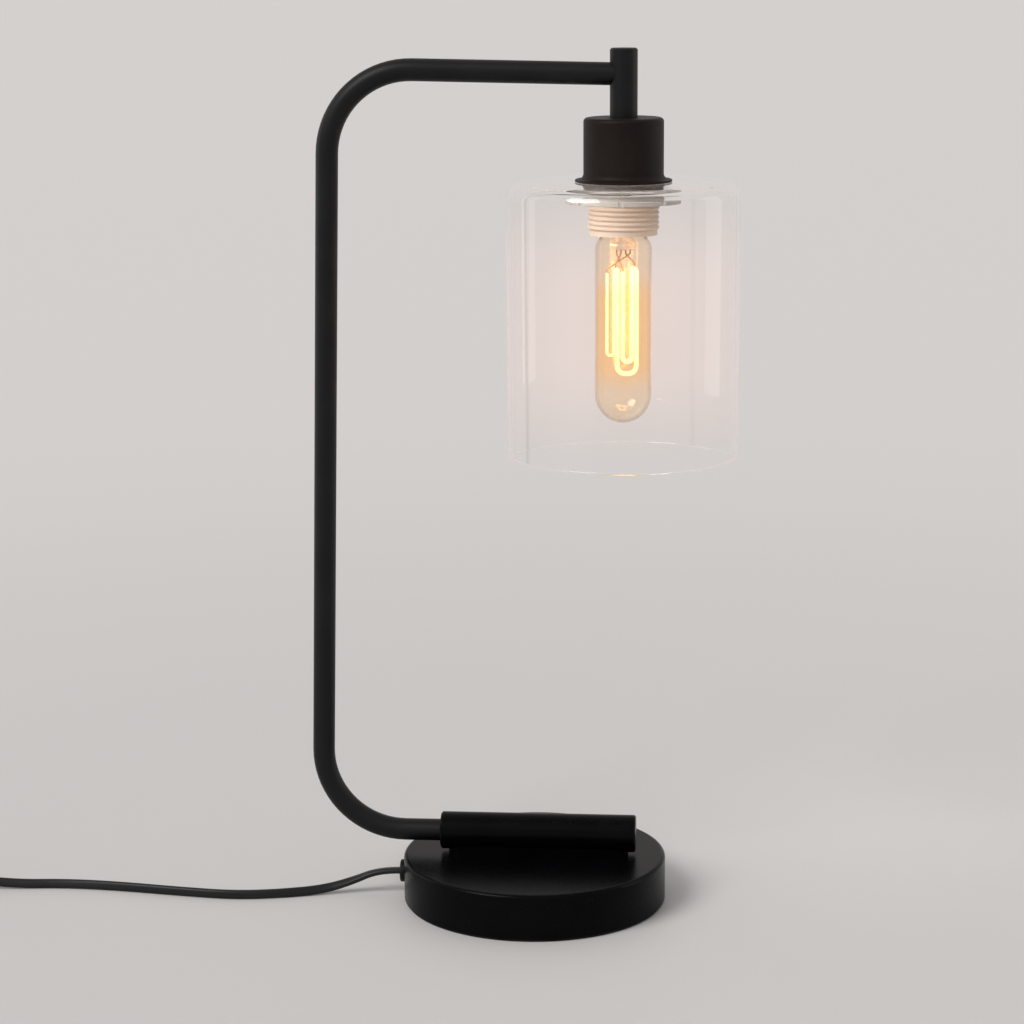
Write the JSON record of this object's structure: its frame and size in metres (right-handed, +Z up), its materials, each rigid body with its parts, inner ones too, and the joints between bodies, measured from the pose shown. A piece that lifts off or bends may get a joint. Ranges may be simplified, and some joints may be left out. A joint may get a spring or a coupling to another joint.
{
  "type": "table lamp",
  "caption": "Table lamp with a weighted round base, a C-shaped bent tube arm, an open glass cylinder shade over a tubular screw-in bulb, and a flat cord with a rocker switch.",
  "frame": {"origin": "middle of the base's underside, on the table", "axes": "+Z up; +X along the barrel, from the upright of the arm towards the shade; +Y to the back"},
  "size_m": [0.6043, 0.1625, 0.467],
  "materials": {
    "black_coat": "satin black powder coat, fine grain",
    "felt": "pressed felt",
    "plate_steel": "zinc plated",
    "iron": "raw casting",
    "brass": "plain",
    "rubber": "matt",
    "black_plastic": "fine matt",
    "ivory_plastic": "smooth",
    "ring_plastic": "milky, a little see-through",
    "ceramic": "unglazed",
    "clear_glass": "clear",
    "amber_glass": "amber tinted",
    "stem_glass": "clear, pinched",
    "wire": "drawn nickel wire",
    "filament": "glowing wire",
    "fibre": "pressed fibre"
  },
  "bodies": {
    "stand": {"base_shell": "black_coat", "felt_pad": "felt", "base_plate": "plate_steel", "base_weight": "iron", "base_screws": "plate_steel", "base_nipple": "plate_steel", "base_washer": "plate_steel", "base_nut": "plate_steel", "barrel_spacer": "black_coat", "barrel": "black_coat", "barrel_plug": "black_coat", "arm_set_screw": "plate_steel", "arm_tube": "black_coat", "head_stem": "black_coat", "head_nipple": "plate_steel", "head_nut": "plate_steel", "socket_cup": "black_coat", "lampholder_dome": "ivory_plastic", "lampholder_sleeve": "ivory_plastic", "lampholder_insert": "ceramic", "terminal_screws": "brass", "screw_shell": "brass", "centre_contact": "brass", "cord_grommet": "rubber", "inner_lead": "black_plastic", "cord_lead": "black_plastic", "switch_base": "black_plastic", "switch_cover": "black_plastic", "switch_pin": "plate_steel", "switch_screws": "plate_steel", "switch_contacts": "brass", "cord_coil": "black_plastic", "cord_tie": "black_plastic", "plug_body": "black_plastic", "plug_pins": "plate_steel"},
    "shade_set": {"shade": "clear_glass", "shade_washer": "fibre"},
    "ring": {"shade_ring": "ring_plastic"},
    "bulb_foot": {"bulb_insulator": "ceramic", "bulb_contact": "brass"},
    "bulb": {"bulb_cap": "brass", "bulb_glass": "amber_glass", "bulb_stem": "stem_glass", "bulb_supports": "wire", "filament": "filament"},
    "rocker": {"switch_rocker": "black_plastic"}
  },
  "joints": [
    {"name": "shade_lower", "type": "slide", "parent": "stand", "child": "shade_set", "axis": [0, 0, -1], "range_m": [0, 0.00625]},
    {"name": "ring_turn", "type": "hinge", "parent": "shade_set", "child": "ring", "pos_m": [0.0485, 0, 0.39], "axis": [0, 0, -1], "range_deg": [0, 901]},
    {"name": "bulb_lower", "type": "slide", "parent": "stand", "child": "bulb_foot", "axis": [0, 0, -1], "range_m": [0, 0.00905]},
    {"name": "bulb_turn", "type": "hinge", "parent": "bulb_foot", "child": "bulb", "pos_m": [0.0485, 0, 0.38], "axis": [0, 0, -1], "range_deg": [0, 901]},
    {"name": "rocker_tilt", "type": "hinge", "parent": "stand", "child": "rocker", "pos_m": [-0.366, -0.0095, 0.015], "axis": [0, 1, 0], "range_deg": [0, 16]}
  ],
  "couplings": [
    {"joint": "ring_turn", "follows": "shade_lower", "rad_per_m": 2513.3},
    {"joint": "bulb_turn", "follows": "bulb_lower", "rad_per_m": 1735.7}
  ]
}
